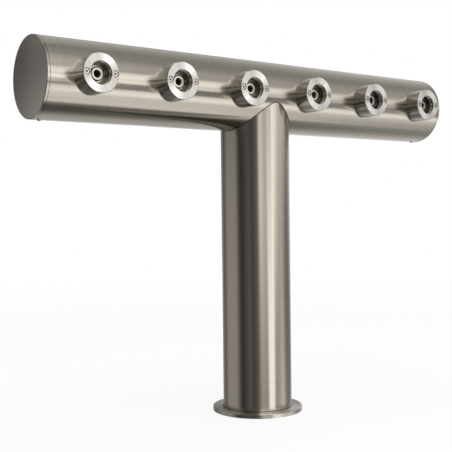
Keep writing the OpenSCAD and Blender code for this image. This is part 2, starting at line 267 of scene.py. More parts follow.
def clouds(tree: Tree, size_mm: float, detail: float = 2.0) -> Socket:
    """Makes soft patches.

    Args:
        tree: the material's node tree.
        size_mm: the size of a patch.
        detail: how many finer layers it has.

    Returns:
        Values from about 0.3 to 0.7.
    """
    place = add_node(tree, "ShaderNodeTexCoord")
    noise = add_node(tree, "ShaderNodeTexNoise", {
        "Scale": 1 / (size_mm * MM), "Detail": detail, "Roughness": 0.55,
    }, {"Vector": place.outputs["Object"]})
    return noise.outputs["Fac"]


def from_middle(tree: Tree, size: tuple[float, float, float]) -> Socket:
    """Gives the place on a piece, measured from the middle of its box.

    Args:
        tree: the material's node tree.
        size: what each side of the box measures, where 0 leaves that direction out.

    Returns:
        The place in the size's own unit.
    """
    place = add_node(tree, "ShaderNodeTexCoord")
    centred = add_node(tree, "ShaderNodeVectorMath", {
        "operation": "SUBTRACT", 1: (0.5, 0.5, 0.5),
    }, {0: place.outputs["Generated"]})
    sized = add_node(tree, "ShaderNodeVectorMath", {"operation": "MULTIPLY", 1: size}, {
        0: centred.outputs["Vector"],
    })
    return sized.outputs["Vector"]


def facing_share(tree: Tree, axis: Axis) -> Socket:
    """Tells flat faces that look along an axis (1) from the other faces (0).

    Args:
        tree: the material's node tree.
        axis: the axis that the faces look along.

    Returns:
        The share, 0 or 1.
    """
    place = add_node(tree, "ShaderNodeTexCoord")
    facing = add_node(tree, "ShaderNodeSeparateXYZ", links={"Vector": place.outputs["Normal"]})
    along = add_node(tree, "ShaderNodeMath", {"operation": "ABSOLUTE"}, {
        0: facing.outputs[axis.value],
    })
    face = add_node(tree, "ShaderNodeMath", {"operation": "GREATER_THAN", 1: FACING_LIMIT}, {
        0: along.outputs["Value"],
    })
    return face.outputs["Value"]


def mix_over(tree: Tree, shader: Node, key: str, share: Socket, value: Any) -> None:
    """Lays a colour or a number over what a shader's socket already gets.

    Args:
        tree: the material's node tree.
        shader: the shader with the socket.
        key: the socket's name.
        share: where the new value shows, from 0 to 1.
        value: the new value, a number or a linear colour.
    """
    is_number = isinstance(value, float)
    kind, first, second, out = ("FLOAT", 2, 3, 0) if is_number else ("RGBA", 6, 7, 2)
    under = shader.inputs[key].links[0].from_socket
    mix = add_node(tree, "ShaderNodeMix", {"data_type": kind, second: value}, {
        0: share, first: under,
    })
    tree.links.new(mix.outputs[out], shader.inputs[key])


@dataclass(frozen=True)
class BrushedTube(Finish):
    """Stainless steel tube, ground on a centreless belt machine.

    The grain runs round the tube, so reflections stay crisp round it and smear along its length.
    The ends are dull, and painted dark as painted shade that shows as a thin seam behind a cap.
    """

    axis: Axis = Axis.X
    anisotropy: float = 1.0
    grain_mm: float = 0.9
    streak_mm: float = 60.0
    grain_depth_mm: float = 0.02
    spread: float = 0.04
    dark: str = "#C4BCB0"
    light: str = "#D4CDC1"
    # Painted shade: the colour of the ends, for the shadow in the seam behind a cap
    end_shade_colour: str = "#3B3833"
    end_roughness: float = 0.6

    def fill(self, tree: Tree, shader: Node) -> None:
        """Adds the grain, and the ends' dull roughness and painted shade.

        The belt's own grain is about five times finer, too fine to show at the photo's size.

        Args:
            tree: the material's node tree.
            shader: its Principled shader.
        """
        self.grain_round(tree, shader, self.axis)
        shader.inputs["Anisotropic"].default_value = self.anisotropy
        grain = streaks(tree, self.grain_mm, self.streak_mm, self.axis)
        self.tone(tree, shader, grain, self.dark, self.light)
        self.vary_roughness(tree, shader, grain, self.spread)
        # Painted shade: the ends that face along the axis are dark, for the shadow in the seam
        # behind a cap
        end = facing_share(tree, self.axis)
        mix_over(tree, shader, "Base Color", end, linear(self.end_shade_colour))
        mix_over(tree, shader, "Roughness", end, self.end_roughness)
        self.relief(tree, shader, grain, self.grain_depth_mm)


@dataclass(frozen=True)
class TurnedSteel(Finish):
    """Stainless steel turned on a lathe: fine rings round the axis, with painted highlights in
    rays.

    The rings are the tool's feed marks, drawn about five times coarser so that they show.
    """

    axis: Axis = Axis.Y
    anisotropy: float = 0.98
    across_mm: tuple[float, float, float] = (41.4, 0.0, 41.4)
    ring_mm: float = 0.7
    ring_depth_mm: float = 0.02
    ring_strength: float = 0.1
    spread: float = 0.04
    face_roughness: float = 0.0
    # Painted highlights: the faced end's colour runs in rays from a grey to a near white
    painted_glints_per_radian: float = 9.0
    painted_highlight_deg: float = 62.0
    painted_highlight_sharpness: float = 10.0
    fine_glint_share: float = 0.6
    painted_highlight_start: float = 0.15
    painted_highlight_dark: str = "#C9C5BE"
    painted_highlight_light: str = "#FAF8F4"
    # Painted shade: the bore's colour is darker than the face, for the shade in the port
    bore_mm: float = 0.0
    bore_roughness: float = 0.22
    bore_shade_colour: str = "#A19B91"
    dark: str = "#CFC9C0"
    light: str = "#E4DFD8"

    def fill(self, tree: Tree, shader: Node) -> None:
        """Adds the tool's rings, measured out from the piece's own axis, then its face and bore.

        Args:
            tree: the material's node tree.
            shader: its Principled shader.
        """
        self.grain_round(tree, shader, self.axis)
        shader.inputs["Anisotropic"].default_value = self.anisotropy
        across = from_middle(tree, self.across_mm)
        radius = add_node(tree, "ShaderNodeVectorMath", {"operation": "LENGTH"}, {0: across})
        rings = add_node(tree, "ShaderNodeTexNoise", {
            "noise_dimensions": "1D", "Scale": 1 / self.ring_mm, "Detail": 3.0,
        }, {"W": radius.outputs["Value"]})
        self.tone(tree, shader, rings.outputs["Fac"], self.dark, self.light)
        self.vary_roughness(tree, shader, rings.outputs["Fac"], self.spread)
        self.relief(tree, shader, rings.outputs["Fac"], self.ring_depth_mm, self.ring_strength)
        if self.face_roughness:
            face = facing_share(tree, self.axis)
            mix_over(tree, shader, "Roughness", face, self.face_roughness)
            self.add_painted_highlights(tree, shader, across, face)
        # Painted shade: inside the bore the colour turns darker, for the shade in the port
        if self.bore_mm:
            inside = add_node(tree, "ShaderNodeMath", {"operation": "LESS_THAN", 1: self.bore_mm}, {
                0: radius.outputs["Value"],
            })
            mix_over(tree, shader, "Base Color", inside.outputs["Value"], linear(self.bore_shade_colour))
            mix_over(tree, shader, "Roughness", inside.outputs["Value"], self.bore_roughness)

    def add_painted_highlights(self, tree: Tree, shader: Node, across: Socket, face: Socket) -> None:
        """Adds a faced end's painted highlights: two broad pale rays, and fine rays of painted
        glint.

        Args:
            tree: the material's node tree.
            shader: its Principled shader.
            across: the place across the piece in millimetres.
            face: where the faced end is, 0 or 1.
        """
        # Painted highlight: the face's colour is lighter in rays, standing in for the turned face's
        # reflections
        part = add_node(tree, "ShaderNodeSeparateXYZ", links={"Vector": across})
        angle = add_node(tree, "ShaderNodeMath", {"operation": "ARCTAN2"}, {
            0: part.outputs["Z"], 1: part.outputs["X"],
        })
        fine = add_node(tree, "ShaderNodeTexNoise", {
            "noise_dimensions": "1D", "Scale": self.painted_glints_per_radian, "Detail": 2.0,
        }, {"W": angle.outputs["Value"]})
        turned = add_node(tree, "ShaderNodeMath", {
            "operation": "SUBTRACT", 1: math.radians(self.painted_highlight_deg),
        }, {0: angle.outputs["Value"]})
        lobes = add_node(tree, "ShaderNodeMath", {"operation": "COSINE"}, {
            0: turned.outputs["Value"],
        })
        even = add_node(tree, "ShaderNodeMath", {"operation": "ABSOLUTE"}, {
            0: lobes.outputs["Value"],
        })
        broad = add_node(tree, "ShaderNodeMath", {"operation": "POWER", 1: self.painted_highlight_sharpness}, {
            0: even.outputs["Value"],
        })
        both = add_node(tree, "ShaderNodeMath", {
            "operation": "MULTIPLY_ADD", 1: self.fine_glint_share,
        }, {0: fine.outputs["Fac"], 2: broad.outputs["Value"]})
        ramp = add_node(tree, "ShaderNodeValToRGB", links={"Fac": both.outputs["Value"]})
        set_ramp(ramp, [(self.painted_highlight_start, linear(self.painted_highlight_dark)), (1.0, linear(self.painted_highlight_light))])
        under = shader.inputs["Base Color"].links[0].from_socket
        mix = add_node(tree, "ShaderNodeMix", {"data_type": "RGBA"}, {
            0: face, 6: under, 7: ramp.outputs["Color"],
        })
        tree.links.new(mix.outputs[2], shader.inputs["Base Color"])


@dataclass(frozen=True)
class CapSteel(Finish):
    """A stainless steel cap: its face bead-blasted to an even sheen, its rim ground like the tube.

    The face is slightly domed by its pressing, so that the room's light slides softly across it,
    and the rim carries the tube's crisp bands on. The pits are drawn about five times coarser than
    the beads leave them.
    """

    axis: Axis = Axis.X
    rim_roughness: float = 0.14
    rim_colour: str = "#CCC5B9"
    cloud_mm: float = 45.0
    patch_mm: float = 12.0
    spread: float = 0.05
    dome_mm: float = 3.2
    pit_mm: float = 0.6
    pit_depth_mm: float = 0.003
    dark: str = "#C3BDB7"
    light: str = "#DAD5CF"

    def fill(self, tree: Tree, shader: Node) -> None:
        """Adds the blasted face's pits, clouds and faint dome, and the grain round the rim.

        Args:
            tree: the material's node tree.
            shader: its Principled shader.
        """
        self.grain_round(tree, shader, self.axis)
        face = facing_share(tree, self.axis)
        rim = add_node(tree, "ShaderNodeMath", {"operation": "SUBTRACT", 0: 1.0}, {1: face})
        tree.links.new(rim.outputs["Value"], shader.inputs["Anisotropic"])
        self.tone(tree, shader, clouds(tree, self.cloud_mm), self.dark, self.light)
        self.vary_roughness(tree, shader, clouds(tree, self.patch_mm), self.spread)
        mix_over(tree, shader, "Base Color", rim.outputs["Value"], linear(self.rim_colour))
        mix_over(tree, shader, "Roughness", rim.outputs["Value"], self.rim_roughness)
        # The dome falls with the square of the distance from the axis, which is 1 at the edge
        across = [2.0, 2.0, 2.0]
        across[self.axis.value] = 0.0
        flat = from_middle(tree, tuple(across))
        square = add_node(tree, "ShaderNodeVectorMath", {"operation": "DOT_PRODUCT"}, {
            0: flat, 1: flat,
        })
        pits = add_node(tree, "ShaderNodeMath", {
            "operation": "MULTIPLY", 1: self.pit_depth_mm / self.dome_mm,
        }, {0: clouds(tree, self.pit_mm, detail=1.0)})
        height = add_node(tree, "ShaderNodeMath", {"operation": "SUBTRACT"}, {
            0: pits.outputs["Value"], 1: square.outputs["Value"],
        })
        self.relief(tree, shader, height.outputs["Value"], self.dome_mm)


@dataclass(frozen=True)
class PlainSteel(Finish):
    """Stainless steel as drawn, rolled or cold-headed: a soft satin with small stains."""

    stain_mm: float = 4.0
    spread: float = 0.08
    dent_mm: float = 1.5
    dent_depth_mm: float = 0.02
    dent_strength: float = 0.1
    dark: str = "#B9B4AB"
    light: str = "#D2CDC5"

    def fill(self, tree: Tree, shader: Node) -> None:
        """Adds the stains and a slight unevenness.

        Args:
            tree: the material's node tree.
            shader: its Principled shader.
        """
        shader.inputs["Metallic"].default_value = 1.0
        stains = clouds(tree, self.stain_mm)
        self.tone(tree, shader, stains, self.dark, self.light)
        self.vary_roughness(tree, shader, stains, self.spread)
        dents = clouds(tree, self.dent_mm)
        self.relief(tree, shader, dents, self.dent_depth_mm, self.dent_strength)


@dataclass(frozen=True)
class MouldedRubber(Finish):
    """Nitrile rubber from a mould: black, dull, with a slight bloom."""

    bloom: str = "#2B2B2D"
    patch_mm: float = 3.0
    grit_mm: float = 0.5
    grit_depth_mm: float = 0.03
    grit_strength: float = 0.3

    def fill(self, tree: Tree, shader: Node) -> None:
        """Adds the bloom and the mould's fine texture.

        Args:
            tree: the material's node tree.
            shader: its Principled shader.
        """
        self.tone(tree, shader, clouds(tree, self.patch_mm), self.colour, self.bloom)
        grit = clouds(tree, self.grit_mm)
        self.relief(tree, shader, grit, self.grit_depth_mm, self.grit_strength)


@dataclass(frozen=True)
class CellFoam(Finish):
    """Closed-cell insulating foam: dull grey, with small bubbles in its skin."""

    cell_mm: float = 1.5
    cell_depth_mm: float = 0.4
    cell_strength: float = 0.6
    light: str = "#6E6C68"

    def fill(self, tree: Tree, shader: Node) -> None:
        """Adds the cells.

        Args:
            tree: the material's node tree.
            shader: its Principled shader.
        """
        place = add_node(tree, "ShaderNodeTexCoord")
        cells = add_node(tree, "ShaderNodeTexVoronoi", {"Scale": 1 / (self.cell_mm * MM)}, {
            "Vector": place.outputs["Object"],
        })
        skin = cells.outputs["Distance"]
        self.tone(tree, shader, skin, self.colour, self.light)
        self.relief(tree, shader, skin, self.cell_depth_mm, self.cell_strength)


def dress(node_name: str, finish: Finish) -> None:
    """Gives a CAD node its finish through its material slots.

    Args:
        node_name: the node's name in the frame.
        finish: the finish that it takes.
    """
    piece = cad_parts[node_name]
    made = finish.material()
    if not piece.material_slots:
        piece.data.materials.append(made)
    for place in piece.material_slots:
        place.material = made
    LOG.info("%s dressed in %s", node_name, finish.name)


@dataclass
class MeshPiece:
    """A visible piece that this script models, with the body and the finish that it belongs to."""

    name: str
    body: Body
    slot: str
    finish: Finish

    def add(self, mesh: bmesh.types.BMesh) -> None:
        """Puts the mesh into the scene, dressed and riding on its body.

        Args:
            mesh: the finished mesh, in metres.
        """
        bmesh.ops.recalc_face_normals(mesh, faces=mesh.faces)
        for face in mesh.faces:
            face.smooth = True
        data = bpy.data.meshes.new(self.name)
        mesh.to_mesh(data)
        mesh.free()
        piece = bpy.data.objects.new(self.name, data)
        bpy.context.collection.objects.link(piece)
        data.materials.append(self.finish.material())
        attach(piece, self.body.value)
        LOG.info("%s built with %d faces", self.name, len(data.polygons))


def sweep(
    places: Sequence[Vector],
    outline: Callable[[int], Sequence[Vector]],
    closed: bool,
) -> bmesh.types.BMesh:
    """Sweeps an outline along a row of places.

    Args:
        places: the path's points.
        outline: gives the outline's offsets at a point of the path.
        closed: whether the path runs back into its start.

    Returns:
        The swept mesh, with flat ends where the path is open.
    """
    mesh = bmesh.new()
    rings = [
        [mesh.verts.new(place + offset) for offset in outline(k)]
        for k, place in enumerate(places)
    ]
    pairs = list(zip(rings, rings[1:] + rings[:1]))
    for near, far in pairs if closed else pairs[:-1]:
        for k in range(len(near)):
            j = (k + 1) % len(near)
            mesh.faces.new((near[k], near[j], far[j], far[k]))
    if not closed:
        mesh.faces.new(list(reversed(rings[0])))
        mesh.faces.new(rings[-1])
    return mesh


def circle_steps(count: int) -> Iterable[float]:
    """Gives evenly spaced angles round a circle, in radians."""
    return (2 * math.pi * k / count for k in range(count))


# Stainless tube, belt-ground round and round: crisp bands that run the whole length
TUBE_BEAM = BrushedTube("brushed_tube_beam", "#CCC5B9", 0.14, axis=Axis.X)
TUBE_COLUMN = BrushedTube("brushed_tube_column", "#CCC5B9", 0.165, axis=Axis.Z)
# Pressed stainless, bead-blasted: a soft even grey, with no grain on the face
CAP_STEEL = CapSteel("blasted_cap_steel", "#AEA59A", 0.36)
# Stainless bar, turned and faced: rings round the face, painted highlight rays across it and a bore
# painted darker as painted shade
BOSS_STEEL = TurnedSteel(
    "turned_boss", "#DAD5CD", 0.17, axis=Axis.Y, face_roughness=0.24, bore_mm=12.4
)
# Stainless bar, turned small: fine rings that glint in the depth of the port
NOZZLE_STEEL = TurnedSteel(
    "turned_nozzle", "#DAD5CD", 0.22, axis=Axis.Y, across_mm=(17.5, 0.0, 17.5), ring_mm=0.5
)
# Stainless plate, turned on both faces: broad rings and a softer shine than the tubes
FLANGE_STEEL = TurnedSteel(
    "turned_flange", "#CFC9C0", 0.3, axis=Axis.Z, across_mm=(112.0, 112.0, 0.0), ring_mm=1.0
)
# Stainless wire, cold-headed: small pale satin heads
SCREW_STEEL = PlainSteel("headed_screw_steel", "#CBC7C0", 0.28, dark="#BFBAB2", light="#D8D4CD")
# Stainless bar and strip, hot-rolled: a greyer and duller satin
NUT_STEEL = PlainSteel("rolled_nut_steel", "#B9B5AD", 0.35)
# Stainless pipe, cold-drawn: a clean satin
LINE_STEEL = PlainSteel("drawn_line_steel", "#C6C2BA", 0.28)
# Stainless weld, ground back and painted dark: painted shade in a thin line along the seam
SHADED_WELD_STEEL = PlainSteel("weld_painted_shade", "#57534C", 0.4, dark="#3E3B36", light="#6B665E")
# Black nitrile rubber, moulded: dark rings with almost no shine
RUBBER = MouldedRubber("moulded_rubber", "#151517", 0.6)
# Grey closed-cell foam, poured: no shine, with small bubbles
FOAM = CellFoam("insulating_foam", "#4F4D4A", 0.9)


@dataclass
class Beam:
    """The beam tube, the foam and the coolant loop in it."""

    tube: str = "beam_tube"
    foam: str = "beam_insulation"
    coolant: str = "coolant_line"

    def build(self) -> None:
        """Dresses the beam's pieces."""
        dress(self.tube, TUBE_BEAM)
        dress(self.foam, FOAM)
        dress(self.coolant, LINE_STEEL)

    def axis_height(self) -> float:
        """Returns the height of the beam's axis in metres."""
        low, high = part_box(self.tube)
        return (low[2] + high[2]) / 2

    def radius(self) -> float:
        """Returns the beam's outside radius in metres."""
        low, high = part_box(self.tube)
        return (high[2] - low[2]) / 2


@dataclass
class Column:
    """The column tube, with the ground welds at its top and foot."""

    beam: Beam
    tube: str = "column_tube"
    foam: str = "column_insulation"
    grommet: str = "line_grommet"
    weld_r_mm: float = 0.6
    weld_steps: int = 192
    weld_sides: int = 8

    def build(self) -> None:
        """Dresses the column and builds its welds."""
        dress(self.tube, TUBE_COLUMN)
        dress(self.foam, FOAM)
        dress(self.grommet, RUBBER)
        self.add_weld("beam_weld", self.beam_seam)
        self.add_weld("flange_weld", self.foot_seam)

    def radius(self) -> float:
        """Returns the column's outside radius in metres."""
        low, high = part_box(self.tube)
        return (high[0] - low[0]) / 2

    def beam_seam(self, angle: float) -> Vector:
        """Finds a point of the seam with the beam.

        Args:
            angle: the angle round the column, in radians.

        Returns:
            The point, in metres.
        """
        r = self.radius()
        y = r * math.sin(angle)
        drop = math.sqrt(self.beam.radius() ** 2 - y ** 2)
        return Vector((r * math.cos(angle), y, self.beam.axis_height() - drop))

    def foot_seam(self, angle: float) -> Vector:
        """Finds a point of the seam with the flange.

        Args:
            angle: the angle round the column, in radians.

        Returns:
            The point, in metres.
        """
        r = self.radius()
        return Vector((r * math.cos(angle), r * math.sin(angle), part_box(self.tube)[0][2]))

    def add_weld(self, name: str, seam: Callable[[float], Vector]) -> None:
        """Builds a thin ground bead along a seam.

        Args:
            name: the piece's name.
            seam: gives the seam's point at an angle round the column.
        """
        places = [seam(angle) for angle in circle_steps(self.weld_steps)]

        def outline(k: int) -> list[Vector]:
            """Draws the bead's round outline, square to the column's wall.

            Args:
                k: the number of the place on the seam.

            Returns:
                The outline's offsets from that place.
            """
            out = Vector((places[k][0], places[k][1], 0)).normalized()
            return [
                self.weld_r_mm * MM * (math.cos(turn) * out + math.sin(turn) * Vector((0, 0, 1)))
                for turn in circle_steps(self.weld_sides)
            ]

        # Painted shade: the bead's dark colour stands for the shade in the crease at the seam
        weld = MeshPiece(name, Body.TOWER, "tube_steel", SHADED_WELD_STEEL)
        weld.add(sweep(places, outline, closed=True))


@dataclass
class BaseFlange:
    """The flange, its nuts and the seal under it."""

    finishes: Mapping[str, Finish] = field(default_factory=lambda: {
        "base_flange": FLANGE_STEEL, "fixing_nuts": NUT_STEEL, "base_seal": RUBBER,
    })

    def build(self) -> None:
        """Dresses the flange's pieces."""
        for name, finish in self.finishes.items():
            dress(name, finish)


@dataclass
class EndCaps:
    """Both end caps, with their seals, screws and nuts."""

    sides: tuple[str, str] = ("left", "right")

    def build(self) -> None:
        """Dresses the caps' pieces."""
        for side in self.sides:
            dress(f"{side}_end_cap", CAP_STEEL)
            dress(f"{side}_cap_seal", RUBBER)
        dress("cap_screws", SCREW_STEEL)
        dress("cap_nuts", NUT_STEEL)


@dataclass
class TapStation:
    """One tap boss with what is in and behind it.

    The thread's ridge is flank_share pitches wide to each side of its middle, narrows to
    crest_share of that at its crest and is rooted root_share of its height into the wall.
    """

    number: int
    thread_pitch_mm: float = 1.81
    ridge_mm: float = 0.4
    flank_share: float = 0.42
    crest_share: float = 0.25
    root_share: float = 0.3
    fade_turns: float = 0.25
    fade_least: float = 0.05
    mouth_gap_mm: float = 0.5
    thread_len_mm: float = 6.3
    thread_r_mm: float = 12.05
    steps_per_turn: int = 64
    finishes: Mapping[str, Finish] = field(default_factory=lambda: {
        "tap_boss": BOSS_STEEL, "boss_screws": SCREW_STEEL, "line_nozzle": NOZZLE_STEEL,
        "nozzle_seal": RUBBER, "backing_plate": NUT_STEEL, "lock_nut": NUT_STEEL,
        "beer_line": LINE_STEEL,
    })

    def build(self) -> None:
        """Dresses the station's pieces and cuts its thread."""
        for name, finish in self.finishes.items():
            dress(f"{name}_{self.number}", finish)
        self.add_thread()

    def add_thread(self) -> None:
        """Builds the thread's crest as a helix on the port's wall."""
        low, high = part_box(f"tap_boss_{self.number}")
        centre_x = (low[0] + high[0]) / 2
        centre_z = (low[2] + high[2]) / 2
        start_y = low[1] + self.mouth_gap_mm * MM
        turns = (self.thread_len_mm - self.thread_pitch_mm) / self.thread_pitch_mm
        count = round(turns * self.steps_per_turn)
        r = self.thread_r_mm * MM
        angles = [2 * math.pi * k / self.steps_per_turn for k in range(count + 1)]
        places = [
            Vector((
                centre_x + r * math.cos(a),
                start_y + self.thread_pitch_mm * MM * (0.5 + a / (2 * math.pi)),
                centre_z + r * math.sin(a),
            ))
            for a in angles
        ]

        def outline(k: int) -> list[Vector]:
            """Draws the ridge's outline, which fades in and out at the thread's ends.

            Args:
                k: the number of the place on the helix.

            Returns:
                The outline's offsets from that place.
            """
            out = Vector((math.cos(angles[k]), 0, math.sin(angles[k])))
            run = min(k, count - k) / (self.fade_turns * self.steps_per_turn)
            crest = self.ridge_mm * MM * min(1.0, run + self.fade_least)
            half = self.thread_pitch_mm * MM * self.flank_share
            ahead = Vector((0, 1, 0))
            return [
                out * crest * self.root_share - ahead * half,
                -out * crest - ahead * half * self.crest_share,
                -out * crest + ahead * half * self.crest_share,
                out * crest * self.root_share + ahead * half,
            ]

        name = f"port_thread_{self.number}"
        thread = MeshPiece(name, Body.TOWER, "turned_steel", NOZZLE_STEEL)
        thread.add(sweep(places, outline, closed=False))


@dataclass(frozen=True)
class PhotoView:
    """The camera, placed where the photograph was taken from."""

    place_mm: tuple[float, float, float] = (-665.35, -843.19, 247.96)
    heading_deg: float = 36.275
    pitch_deg: float = -0.917
    roll_deg: float = -0.615
    focal_px: float = 852.41
    image_px: float = 452.0
    sensor_mm: float = 36.0
    near_m: float = 0.01
    far_m: float = 100.0

    def axes(self) -> tuple[Vector, Vector, Vector]:
        """Works out which way the camera looks.

        Returns:
            Its right, up and forward directions.
        """
        heading = math.radians(self.heading_deg)
        pitch = math.radians(self.pitch_deg)
        roll = math.radians(self.roll_deg)
        forward = Vector((
            math.sin(heading) * math.cos(pitch),
            math.cos(heading) * math.cos(pitch),
            math.sin(pitch),
        ))
        level = forward.cross(Vector((0, 0, 1))).normalized()
        upright = level.cross(forward)
        right = math.cos(roll) * level + math.sin(roll) * upright
        up = -math.sin(roll) * level + math.cos(roll) * upright
        return right, up, forward

    def build(self) -> None:
        """Adds the camera and makes it the scene's own."""
        right, up, forward = self.axes()
        data = bpy.data.cameras.new("photo_camera")
        data.sensor_width = self.sensor_mm
        data.lens = self.focal_px * self.sensor_mm / self.image_px
        data.clip_start = self.near_m
        data.clip_end = self.far_m
        camera = bpy.data.objects.new("photo_camera", data)
        turn = Matrix((right, up, -forward)).transposed().to_4x4()
        camera.matrix_world = Matrix.Translation(Vector(self.place_mm) * MM) @ turn
        bpy.context.collection.objects.link(camera)
        bpy.context.scene.camera = camera


@dataclass
class Studio:
    """The room round the tower: a pale floor and backdrop, a soft lamp and banded grey walls."""

    view: PhotoView
    # Light levels by angle round the beam, from -180 to 180 degrees, with 0 in front and 90 up.
    # These bands weren't designed freely: their first values were read from the photograph's
    # brightness along lines on the metal, and then thinned, retuned and rounded.
    beam_near: Stops = (
        (-130, 0.5), (-105, 0.1), (-85, 0.1), (-75, 0.3), (-70, 1), (-45, 0.8), (-35, 1.4),
        (-25, 1.1), (-20, 0.3), (-15, 0.1), (-10, 0.1), (0, 1.1), (15, 1.5), (20, 1.3), (30, 0.5),
        (45, 0.5), (65, 0.3), (90, 0.3), (150, 0.6), (155, 0.1), (170, 0.1), (175, 0.4),
    )
    beam_far: Stops = (
        (-180, 0.5), (-160, 0.8), (-100, 0.3), (-65, 0.5), (-45, 0.8), (-35, 1.2), (-30, 1.2),
        (-20, 0.4), (-5, 0.4), (0, 0.7), (10, 0.9), (20, 0.9), (35, 0.5), (80, 0.3), (140, 0.7),
    )
    # The same round the column, with the same origin, where 90 is to the right: the left side, and
    # then the front and the right side, level with the column and below it
    column_left: Stops = (
        (-180, 0.15), (-170, 0.15), (-145, 0.4), (-110, 0.4), (-95, 0.1), (-85, 0.05), (-60, 0.15),
    )
    column_level: Stops = (
        (-50, 0.1), (-35, 0.2), (-30, 0.3), (-25, 1.2), (-20, 1.5), (-5, 0.9), (0, 1.1), (15, 1.2),
        (20, 1.8), (30, 1.5), (35, 0.8), (75, 0.2), (90, 0.2), (130, 1), (145, 1), (155, 0.3),
    )
    column_low: Stops = (
        (-50, 0.1), (-40, 0.1), (-25, 0.3), (-5, 0.4), (0, 0.5), (5, 1.7), (30, 1.6), (35, 1),
        (55, 0.6), (75, 0.2), (105, 0.2), (130, 0.7), (145, 0.7), (155, 0.3),
    )
    # Tints of that light, set to follow the photograph: warm to both sides, cool between them
    column_tint: tuple[tuple[float, str], ...] = (
        (-180, "#FFFFFF"), (-105, "#FFF9F0"), (-90, "#FFFFFF"), (-65, "#FFFFFF"), (-50, "#F7FAFF"),
        (-40, "#FFFFFF"), (-30, "#FFF9EE"), (-20, "#FFFFFF"), (60, "#FFFCF8"),
    )
    # Share of the column's light that is left by height, from -1 below to 1 overhead
    height_share: Stops = (
        (-0.8, 0.35), (-0.74, 1.0), (-0.64, 1.0), (-0.55, 0.25), (-0.42, 0.25), (-0.3, 1.0),
        (0.05, 1.0), (0.14, 0.4), (0.28, 0.4), (0.38, 1.0),
    )
    # The parts of the studio by direction, where x is to the right and z is up, both -1 to 1:
    # the beam's light is to the right, off level or in a gap, and the column's is everywhere else
    beam_x: Edge = (0.28, 0.36)
    beam_above_z: Edge = (0.04, 0.1)
    beam_below_z: Edge = (-0.21, -0.27)
    beam_far_x: Edge = (0.57, 0.7)
    gap_left_x: Edge = (0.38, 0.42)
    gap_right_x: Edge = (0.8, 0.74)
    gap_z: Edge = (-0.02, -0.07)
    column_low_z: Edge = (0.02, -0.14)
    # The white backdrop that metal shows: ahead of the camera and low, on the right of the view
    # or low on the left of it
    backdrop_ahead: Edge = (0.95, 0.985)
    backdrop_z: Edge = (0.16, 0.1)
    backdrop_beside: Edge = (-0.03, 0.03)
    backdrop_left_x: Edge = (0.56, 0.52)
    backdrop_left_z: Edge = (-0.04, -0.08)
    level: float = 1.8
    floor_half_m: float = 12.0
    floor_drop_mm: float = 0.3
    fade_near_m: float = 0.5
    fade_far_m: float = 2.2
    floor_white: float = 0.87
    floor_grey: float = 0.9
    lamp_place_m: tuple[float, float, float] = (0.0, -0.3, 2.2)
    lamp_target_m: tuple[float, float, float] = (0.0, 0.0, 0.2)
    lamp_size_m: tuple[float, float] = (2.4, 2.0)
    lamp_watts: float = 36.0

    def build(self) -> None:
        """Adds the floor, the world and the lamp, and sets the plain view transform."""
        bpy.context.scene.view_settings.view_transform = "Standard"
        self.add_floor()
        self.add_world()
        self.add_lamp()

    def floor_material(self) -> bpy.types.Material:
        """Makes the pale floor, which turns white with distance so that it meets the backdrop.

        Returns:
            The floor's material.
        """
        made = bpy.data.materials.new("pale_floor")
        made.use_nodes = True
        tree = made.node_tree
        tree.nodes.clear()
        place = add_node(tree, "ShaderNodeTexCoord")
        reach = add_node(tree, "ShaderNodeVectorMath", {"operation": "LENGTH"}, {
            0: place.outputs["Object"],
        })
        fade = add_node(tree, "ShaderNodeMapRange", {
            "interpolation_type": "SMOOTHSTEP", "From Min": self.fade_near_m,
            "From Max": self.fade_far_m, "To Min": self.floor_white,
        }, {"Value": reach.outputs["Value"]})
        path = add_node(tree, "ShaderNodeLightPath")
        seen = add_node(tree, "ShaderNodeMath", {"operation": "MULTIPLY"}, {
            0: fade.outputs["Result"], 1: path.outputs["Is Camera Ray"],
        })
        grey = self.floor_grey
        matte = add_node(tree, "ShaderNodeBsdfDiffuse", {"Color": (grey, grey, grey, 1.0)})
        white = add_node(tree, "ShaderNodeEmission", {"Strength": 1.0})
        mix = add_node(tree, "ShaderNodeMixShader", links={
            0: seen.outputs["Value"], 1: matte.outputs["BSDF"], 2: white.outputs["Emission"],
        })
        add_node(tree, "ShaderNodeOutputMaterial", links={"Surface": mix.outputs["Shader"]})
        return made

    def add_floor(self) -> None:
        """Adds the floor just under the flange."""
        mesh = bmesh.new()
        half = self.floor_half_m
        corners = ((-half, -half), (half, -half), (half, half), (-half, half))
        mesh.faces.new([mesh.verts.new((x, y, 0.0)) for x, y in corners])
        data = bpy.data.meshes.new("floor")
        mesh.to_mesh(data)
        mesh.free()
        floor = bpy.data.objects.new("floor", data)
        floor.location.z = -self.floor_drop_mm * MM
        data.materials.append(self.floor_material())
        bpy.context.collection.objects.link(floor)
        floor.visible_glossy = False

    def by_angle(
        self, tree: Tree, sine: Socket, cosine: Socket, stops: Iterable[tuple[float, Any]]
    ) -> Socket:
        """Gives a direction the shade of its angle round an axis.

        Args:
            tree: the world's node tree.
            sine: the part of the direction that is 0 straight in front.
            cosine: the part that is largest there.
            stops: angles from -180 to 180 degrees, each with a grey level or a colour.

        Returns:
            The shade.
        """
        angle = add_node(tree, "ShaderNodeMath", {"operation": "ARCTAN2"}, {0: sine, 1: cosine})
        turn = add_node(tree, "ShaderNodeMapRange", {
            "From Min": -math.pi, "From Max": math.pi,
        }, {"Value": angle.outputs["Value"]})
        ramp = add_node(tree, "ShaderNodeValToRGB", links={"Fac": turn.outputs["Result"]})
        set_ramp(ramp, [((degrees + 180) / 360, shade) for degrees, shade in stops])
        return ramp.outputs["Color"]

    def shares(self, stops: Stops) -> list[tuple[float, float]]:
        """Turns light levels by angle into shares of the studio's brightest."""
        return [(degrees, level / self.level) for degrees, level in stops]

